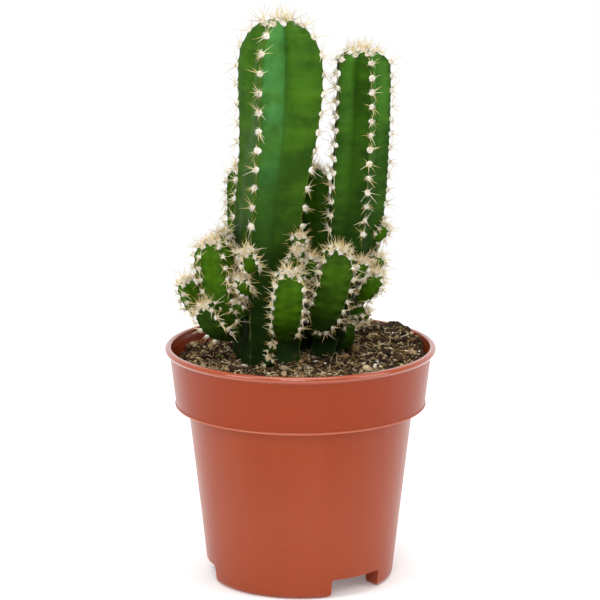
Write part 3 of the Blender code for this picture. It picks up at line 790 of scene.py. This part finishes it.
class Growth(Graph):
    """A geometry node tree with named inputs, the last of which are its seed and its finish."""

    def __init__(self, name, floats, ints=()):
        group = bpy.data.node_groups.new(name, "GeometryNodeTree")
        super().__init__(group)
        group.interface.new_socket("Geometry", in_out="OUTPUT", socket_type="NodeSocketGeometry")
        group.interface.new_socket("Geometry", in_out="INPUT", socket_type="NodeSocketGeometry")
        kinds = {"Float": floats, "Int": (*ints, "Seed"), "Material": ("Finish",)}
        self.keys = {}
        for kind, labels in kinds.items():
            for label in labels:
                made = group.interface.new_socket(label, in_out="INPUT", socket_type="NodeSocket" + kind)
                self.keys[label] = made.identifier
        self.entry = group.nodes.new("NodeGroupInput")
        self.exit = group.nodes.new("NodeGroupOutput")

    def input(self, label):
        return Num(self, self.entry.outputs[label])

    def stored(self, name, kind="FLOAT"):
        return self.node("GeometryNodeInputNamedAttribute", {"data_type": kind}, {"Name": name})

    def store(self, geometry, name, value, domain="POINT"):
        return self.node("GeometryNodeStoreNamedAttribute", {"data_type": "FLOAT", "domain": domain},
                         {"Geometry": geometry, "Name": name, "Value": value})

    def random(self, low, high, offset):
        """A random number for each point. offset tells one draw from another."""
        return self.node("FunctionNodeRandomValue", {"data_type": "FLOAT"},
                         {2: low, 3: high, 8: self.input("Seed") + offset}, output=1)

    def facing(self, way, offset):
        """The rotation that points Z along way, spun about it at random."""
        angle = self.random(0.0, FULL_TURN, offset)
        turn = self.node("FunctionNodeAxisAngleToRotation", {}, {"Axis": (0, 0, 1), "Angle": angle})
        rotation = self.node("FunctionNodeAlignRotationToVector", {"axis": "Z"}, {"Vector": way})
        return self.node("FunctionNodeRotateRotation", {"rotation_space": "LOCAL"},
                         {"Rotation": rotation, "Rotate By": turn})

    def blend(self, first, second, angle):
        """The way that lies at an angle from the first towards the second."""
        return self.vector("ADD", self.scaled(first, angle.math("COSINE")),
                           self.scaled(second, angle.math("SINE")))

    def triple(self, x, y, z):
        return self.node("ShaderNodeCombineXYZ", {}, {0: x, 1: y, 2: z})

    def placed(self, points, instance, rotation, scale):
        return self.node("GeometryNodeInstanceOnPoints", {},
                         {"Points": points, "Instance": instance, "Rotation": rotation, "Scale": scale})

    def shaft(self, sides, segments, tip):
        """A tapered rod of unit length along Z."""
        return self.node("GeometryNodeMeshCone", {"fill_type": "NGON"},
                         {"Vertices": sides, "Side Segments": segments, "Radius Top": tip,
                          "Radius Bottom": 1.0, "Depth": 1.0})

    def sprayed(self, shaft, count, least_lean, most_lean, thick, length, share, draws):
        """Shafts that lean out of each site to all sides, by least_lean to most_lean radians, each a share of
        the length. draws tells the random draws of the way, the spin and the tint apart."""
        points = self.node("GeometryNodeDuplicateElements", {"domain": "POINT"},
                           {"Geometry": self.input("Geometry"), "Amount": count})
        outward, along = (self.stored(label, "FLOAT_VECTOR") for label in ("outward", "along"))
        lean = self.random(least_lean, most_lean, draws[0])
        turn = self.random(0.0, 2 * math.pi, draws[0] + 1)
        flat = self.blend(along, self.vector("CROSS_PRODUCT", outward, along), turn)
        size = self.triple(thick, thick, length * self.stored("size") * share)
        shafts = self.placed(points, shaft, self.facing(self.blend(outward, flat, lean), draws[1]), size)
        return self.realized(self.store(shafts, "tint", self.random(0.0, 1.0, draws[2]), "INSTANCE"))

    def join(self, *parts):
        joined = self.tree.nodes.new("GeometryNodeJoinGeometry")
        for part in reversed(parts):
            self.tree.links.new(part.socket, joined.inputs[0])
        return Num(self, joined.outputs[0])

    def place(self):
        return self.node("GeometryNodeInputPosition")

    def moved(self, geometry, offset):
        return self.node("GeometryNodeSetPosition", {}, {"Geometry": geometry, "Offset": offset})

    def shaken(self, geometry, scale, amount):
        """Moves points by a noise field, so that no two copies stay alike."""
        field = self.node("ShaderNodeTexNoise", {"noise_dimensions": "3D"},
                          {"Vector": self.place(), "Scale": scale, "Detail": 2.0}, output="Color")
        return self.moved(geometry, self.scaled(self.vector("SUBTRACT", field, (0.5, 0.5, 0.5)), amount))

    def finish(self, geometry):
        """Ends the tree: real meshes with their finish."""
        done = self.node("GeometryNodeSetMaterial", {},
                         {"Geometry": geometry, "Material": self.input("Finish")})
        self.tree.links.new(done.socket, self.exit.inputs[0])

    def realized(self, geometry):
        return self.node("GeometryNodeRealizeInstances", {}, {"Geometry": geometry})

    def run(self, name, sites, settings):
        """Runs the tree on an object and leaves it as a plain mesh."""
        growth = sites.modifiers.new(name, "NODES")
        growth.node_group = self.tree
        for label, value in settings.items():
            growth[self.keys[label]] = value
        evaluated_mesh(sites, name)
        sites.name = name
        sites.data.shade_smooth()
        return sites


def spine_growth():
    """Spines that radiate from each areole."""
    growth = Growth("spine_growth", ("Length", "Thickness", "Least lean", "Most lean"), ("Spines",))
    height = growth.part(growth.place(), "Z")
    spine = growth.store(growth.shaft(4, 4, 0.12), "length", height)
    spine = growth.moved(spine, growth.triple(height * height * 0.9, 0.0, 0.0))
    growth.finish(growth.sprayed(
        spine, growth.input("Spines"), growth.input("Least lean"), growth.input("Most lean"),
        growth.input("Thickness") * growth.random(0.75, 1.2, 5), growth.input("Length"),
        growth.random(0.4, 1.0, 4), (1, 6, 7)))
    return growth


def wool_growth():
    """A felted cushion and a halo of short hairs at each areole."""
    growth = Growth("wool_growth", ("Cushion", "Hair length", "Hair thickness", "Most lean"), ("Hairs",))
    ball = growth.node("GeometryNodeMeshIcoSphere", {}, {"Radius": 1.0, "Subdivisions": 2})
    x, y, z = (growth.part(growth.place(), axis) for axis in "XYZ")
    ball = growth.store(ball, "rim", (x * x + y * y).math("SQRT") + (z * -2.0).math("MAXIMUM", 0.0))
    wide = growth.input("Cushion") * growth.stored("size") * growth.random(0.8, 1.15, 2)
    cushion = growth.placed(growth.input("Geometry"), ball,
                            growth.facing(growth.stored("outward", "FLOAT_VECTOR"), 3),
                            growth.triple(wide, wide * growth.random(0.75, 1.0, 5), wide * 0.62))
    cushion = growth.realized(growth.store(cushion, "tint", growth.random(0.2, 1.0, 4), "INSTANCE"))
    hair = growth.store(growth.shaft(3, 1, 0.35), "rim", 1.0)
    hairs = growth.sprayed(hair, growth.input("Hairs"), 0.35, growth.input("Most lean"),
                           growth.input("Hair thickness") * growth.random(0.7, 1.3, 15),
                           growth.input("Hair length"), growth.random(0.55, 1.0, 16), (11, 17, 18))
    growth.finish(growth.join(growth.shaken(cushion, 750.0, 0.0016), growth.shaken(hairs, 900.0, 0.0007)))
    return growth


def scatter_growth(name, fibre):
    """Bits strewn over a surface: lumps, or thin bent fibres."""
    growth = Growth(name, ("Per square metre", "Least size", "Most size", "Flatness", "Thickness", "Rise",
                           "Crumple scale", "Crumple"))
    strewn = growth.node("GeometryNodeDistributePointsOnFaces", {"distribute_method": "RANDOM"},
                         {"Mesh": growth.input("Geometry"), "Density": growth.input("Per square metre"),
                          "Seed": growth.input("Seed")})
    size = growth.random(0.0, 1.0, 2)
    size = growth.input("Least size") + (growth.input("Most size") - growth.input("Least size")) * size * size
    tilt = growth.random(-1.0, 1.0, 3)
    turn = growth.random(0.0, 2 * math.pi, 4)
    if fibre:
        bit = growth.node("GeometryNodeMeshCylinder", {"fill_type": "NGON"},
                          {"Vertices": 3, "Side Segments": 9, "Radius": 1.0, "Depth": 1.0})
        way = growth.triple(turn.math("COSINE"), turn.math("SINE"), tilt * 0.35 + 0.08)
        scale = growth.triple(growth.input("Thickness"), growth.input("Thickness"), size)
    else:
        bit = growth.node("GeometryNodeMeshIcoSphere", {}, {"Radius": 1.0, "Subdivisions": 2})
        way = growth.triple(turn.math("COSINE") * 0.5, turn.math("SINE") * 0.5, 1.0)
        scale = growth.triple(size, size * growth.random(0.5, 1.0, 5), size * growth.input("Flatness"))
    lifted = growth.moved(strewn, growth.triple(0.0, 0.0, growth.input("Rise") * growth.random(0.0, 1.0, 6)))
    bits = growth.placed(lifted, bit, growth.facing(way, 7), scale)
    bits = growth.store(bits, "tint", growth.random(0.0, 1.0, 8), "INSTANCE")
    done = growth.realized(bits)
    growth.finish(growth.shaken(done, growth.input("Crumple scale"), growth.input("Crumple")))
    return growth


# ---- plant


def tufted(name, slot, sites, wool, spines, seed):
    """Sets wool and spines on sites. wool and spines are (tree, settings) pairs."""
    points, traits = sites
    for label, (tree, settings), shift in (("wool", wool, 0), ("spines", spines, 100)):
        settings = {**settings, "Seed": seed + shift}
        made = tree.run(name + label, add_mesh("sites", points, [], traits), settings)
        own(made, settings["Finish"], slot)


def build_stems(skins, wool, spines):
    wool_tree, spine_tree = wool_growth(), spine_growth()
    for number, stem in enumerate(COLUMNS + PUPS):
        column = stem in COLUMNS
        slot = "column_skin" if column else "offset_skin"
        skin = stem_mesh(stem, 0.9 if column else 0.7, 14 if column else 9)
        own(skin, skins[stem.skin], slot, stem.name)
        cushion = {"Cushion": (1.5 if column else 1.25) * MM, "Hairs": 44, "Hair length": 2.4 * MM,
                   "Hair thickness": 0.15 * MM, "Most lean": 1.55, "Finish": wool}
        rays = {"Spines": 7, "Length": (7.8 if column else 9.0) * MM, "Thickness": 0.18 * MM,
                "Least lean": 0.5, "Most lean": 1.4, "Finish": spines}
        tufted(stem.name + "_", slot, areole_sites(stem), (wool_tree, cushion), (spine_tree, rays), number)
        cushion = {"Cushion": (1.8 if column else 1.5) * MM, "Hairs": 50, "Hair length": 3.0 * MM,
                   "Hair thickness": 0.17 * MM, "Most lean": 1.4, "Finish": wool}
        rays = {"Spines": 4, "Length": 9.6 * MM, "Thickness": 0.2 * MM, "Least lean": 0.05, "Most lean": 1.1,
                "Finish": spines}
        tufted(stem.name + "_crown_", slot, crown_sites(stem), (wool_tree, cushion), (spine_tree, rays),
               number + 200)


def crown_sites(stem):
    """The growing tip: woolly tufts crowded round the middle of the dome, more on a thicker stem."""
    tufts = int(min(9, max(2, 0.85 * stem.girth[-1])))
    _, right, _, ahead = frames(stem, np.array([0.98]))
    back = np.cross(ahead, right)
    tip = on_route(stem.route, np.array([0.9995]))
    spread = 0.5 * stem.girth[-1]
    rise = stem.dome * stem.girth[-1]
    points, outward = [], []
    for k in range(tufts):
        angle = GOLDEN_ANGLE * k
        share = math.sqrt(k / tufts)
        flat = right * math.cos(angle) + back * math.sin(angle)
        points.append(tip + flat * spread * share - ahead * (0.6 + 0.16 * rise * share ** 2))
        outward.append(unit(ahead + flat * 0.8 * share))
    points, outward = np.concatenate(points), np.concatenate(outward)
    along = unit(np.cross(outward, np.array([0.0, 1.0, 0.1])))
    return points, {"outward": outward, "along": along, "size": np.full(len(points), stem.wool)}


# ---- soil


def soil_height(x, y):
    """Height of the soil's surface: nearly level, heaped at the right rear, with shallow hollows."""
    away = math.hypot(x - MOUND_CENTRE[0], y - MOUND_CENTRE[1])
    mound = MOUND_RISE * math.exp(-((away / MOUND_SPREAD) ** 2))
    hollows = HOLLOW_DEPTH * math.sin(x / 6.1 + 0.5) * math.cos(y / 5.3)
    return SOIL_LEVEL + mound + hollows


def rough_height(x, y):
    """The soil's height with its clods."""
    place = Vector((x, y, 0))
    lumps = noise.fractal(place * 0.2, 0.9, 2.1, 4) * LUMP_RISE
    grit = noise.fractal(place * 0.8, 0.8, 2.2, 3) * GRIT_RISE
    clods = sum(rise * math.exp(-(((x - at_x) ** 2 + (y - at_y) ** 2) / spread ** 2) ** 1.5)
                for at_x, at_y, spread, rise in CLODS)
    return soil_height(x, y) + lumps + grit + clods


def round_the_pot():
    return [heading(360 * i / SOIL_TURNS) for i in range(SOIL_TURNS)]


def soil_surface(reach=1.0):
    """Points of the soil's top, ring after ring from the wall to the middle."""
    points = []
    for ring in range(SOIL_RINGS):
        radius = (collar_inner_radius(SOIL_LEVEL) - SOIL_GAP) * (reach * (1 - ring / SOIL_RINGS))
        points += [(radius * x, radius * y, rough_height(radius * x, radius * y)) for x, y in round_the_pot()]
    return points


def build_soil(material):
    """The soil as one closed body: floor, wall, shelf and a cloddy top."""
    inset = WALL_THICKNESS + SOIL_GAP
    floor_z, shelf_z = FLOOR_TOP_Z + 0.3, COLLAR_BOTTOM_Z + WALL_THICKNESS + 0.3
    corners = ((wall_radius(FLOOR_TOP_Z) - inset, floor_z), (WALL_TOP_RADIUS - inset, shelf_z),
               (collar_inner_radius(shelf_z) - 0.35, shelf_z))
    points = [(radius * x, radius * y, z) for radius, z in corners for x, y in round_the_pot()]
    points += soil_surface()
    soil = closed("peat_body", points, SOIL_TURNS, (0, 0, floor_z), (0, 0, rough_height(0, 0)))
    face_outward(soil)
    own(soil, material, "soil_mix", "potting_soil")


def soil_top(reach):
    """The open surface that the loose bits are strewn on."""
    return add_mesh("soil_top", soil_surface(reach), grid_faces(SOIL_RINGS, SOIL_TURNS))


def build_litter():
    """Crumbs, coir fibres, shreds, pale chips and moss on the soil, the long ones clear of the wall."""
    lumps, fibres = scatter_growth("lump_growth", False), scatter_growth("fibre_growth", True)
    earth = soil_bits("crumb_peat", ((0.0, rgb(20, 14, 8)), (0.4, rgb(62, 45, 27)), (0.65, rgb(138, 108, 70)),
                                     (1.0, rgb(212, 190, 150))), 0.9)
    coir = soil_bits("coir_fibre", ((0.0, rgb(112, 76, 40)), (0.5, rgb(190, 158, 108)),
                                    (1.0, rgb(244, 230, 196))), 0.8)
    pale = soil_bits("pale_chip", ((0.0, rgb(206, 194, 172)), (1.0, rgb(246, 242, 234))), 0.7)
    moss = soil_bits("moss_speck", ((0.0, rgb(72, 80, 24)), (1.0, rgb(128, 138, 56))), 0.9)
    # Name, tree, finish, count a square metre, least and most size, flatness, thickness, rise, crumple scale
    # and crumple; lengths in mm
    rows = (
        ("crumbs_coarse", lumps, earth, 3.5e4, 0.9, 2.8, 0.55, 0.0, 0.4, 700.0, 3.0),
        ("crumbs_fine", lumps, earth, 1.5e5, 0.3, 1.0, 0.7, 0.0, 0.5, 1100.0, 0.6),
        ("coir_shreds", fibres, coir, 2.2e4, 2.0, 5.0, 1.0, 0.34, 1.0, 330.0, 3.6),
        ("coir_fibres", fibres, coir, 5.0e4, 3.0, 9.0, 1.0, 0.15, 1.6, 240.0, 6.0),
        ("coir_threads", fibres, coir, 6.0e4, 1.5, 6.0, 1.0, 0.09, 2.2, 330.0, 4.6),
        ("pale_chips", lumps, pale, 6.0e3, 0.6, 2.4, 0.3, 0.0, 0.9, 800.0, 2.4),
        ("moss_specks", lumps, moss, 1.6e4, 0.3, 1.0, 0.7, 0.0, 0.6, 1500.0, 0.9),
    )
    for number, (name, tree, finish, count, low, high, flat, thick, rise, scale, crumple) in enumerate(rows):
        made = tree.run(name, soil_top(0.99 - 0.012 * high), {
            "Per square metre": count, "Least size": low * MM, "Most size": high * MM, "Flatness": flat,
            "Thickness": thick * MM, "Rise": rise * MM, "Crumple scale": scale, "Crumple": crumple * MM,
            "Seed": number + 7, "Finish": finish})
        own(made, finish, "soil_mix")


# ---- studio


def add_light(name, place, size, power):
    """A soft box at a place, in metres, that faces the plant."""
    data = bpy.data.lights.new(name, "AREA")
    data.shape = "RECTANGLE"
    data.size, data.size_y = size
    data.energy = power
    light = bpy.data.objects.new(name, data)
    bpy.context.scene.collection.objects.link(light)
    light.location = place
    light.rotation_euler = (Vector(LIT_POINT) - Vector(place)).to_track_quat("-Z", "Y").to_euler()


def build_studio():
    """White paper floor, soft boxes, and a white surround that is much dimmer behind the camera."""
    scene = bpy.context.scene
    edge = [(FLOOR_RADIUS * x, FLOOR_RADIUS * y, -0.1) for x, y in map(heading, range(0, 360, 3))]
    floor = add_mesh("studio_floor", edge, [tuple(range(len(edge)))])
    floor.data.materials.append(studio_paper())
    world = bpy.data.worlds.new("studio")
    scene.world = world
    world.use_nodes = True
    sky = Graph(world.node_tree)
    shell = world.node_tree.nodes["Background"]
    way = sky.node("ShaderNodeTexCoord", output="Generated")
    depth = sky.node("ShaderNodeSeparateXYZ", {}, {0: way}, output="Y")
    seen = sky.node("ShaderNodeLightPath", output="Is Camera Ray")
    lit = sky.mix(sky.step(depth, -0.2, 0.9), (0.27, 0.27, 0.27, 1), (1.0, 1.0, 1.0, 1))
    sky.tree.links.new(sky.mix(seen, lit, (1.0, 1.0, 1.0, 1)).socket, shell.inputs["Color"])
    shell.inputs["Strength"].default_value = 1.0
    add_light("left_box", (-1.0, -0.75, 0.8), (0.7, 1.1), 8.5)
    add_light("right_box", (1.05, -0.5, 0.6), (0.6, 1.2), 6.5)
    add_light("top_box", (0.0, -0.1, 1.4), (0.9, 0.9), 11.0)
    add_light("front_box", (-0.15, -1.5, 1.0), (0.6, 0.6), 10.0)
    scene.view_settings.view_transform = "Standard"
    scene.view_settings.look = "None"


def build_camera():
    data = bpy.data.cameras.new("camera")
    data.lens = CAMERA_LENS
    camera = bpy.data.objects.new("camera", data)
    bpy.context.scene.collection.objects.link(camera)
    camera.location = Vector(CAMERA_PLACE) * MM
    camera.rotation_euler = (math.radians(90 - CAMERA_DIP), 0, 0)
    bpy.context.scene.camera = camera


build_studio()
build_camera()
build_pot(pot_plastic())
build_soil(peat_mix())
build_litter()
# Skins: deep and fresh greens; the colour of the wax and of the painted sheen; the faces with painted sheen;
# the heights of the painted shade at the foot, mm; how much darker grooves and crests are.
build_stems({
    "main": cactus_skin("main_column_skin", rgb(44, 78, 8), rgb(62, 102, 14), rgb(76, 146, 80),
                        ((0.008, 0.112, 0.75),), (225, 100), 0.4, 0.1),
    "right": cactus_skin("side_column_skin", rgb(28, 56, 2), rgb(42, 78, 4), rgb(84, 142, 50),
                         ((0.008, 0.08, 0.35), (0.2, 0.4, 0.45)), (215, 90), 0.3, 0.15),
    "low": cactus_skin("low_column_skin", rgb(36, 66, 4), rgb(54, 92, 8), rgb(84, 142, 50),
                       (), (165, 85), 0.3, 0.15),
    "shaded": cactus_skin("shaded_offset_skin", rgb(36, 62, 2), rgb(52, 84, 4), rgb(60, 104, 30),
                          (), (140, 100), 0.0, 0.4),
    "pup": cactus_skin("offset_skin_finish", rgb(44, 76, 2), rgb(62, 100, 4), rgb(70, 112, 20),
                       (), (130, 95), 0.0, 0.4),
}, areole_wool(), spine_horn())
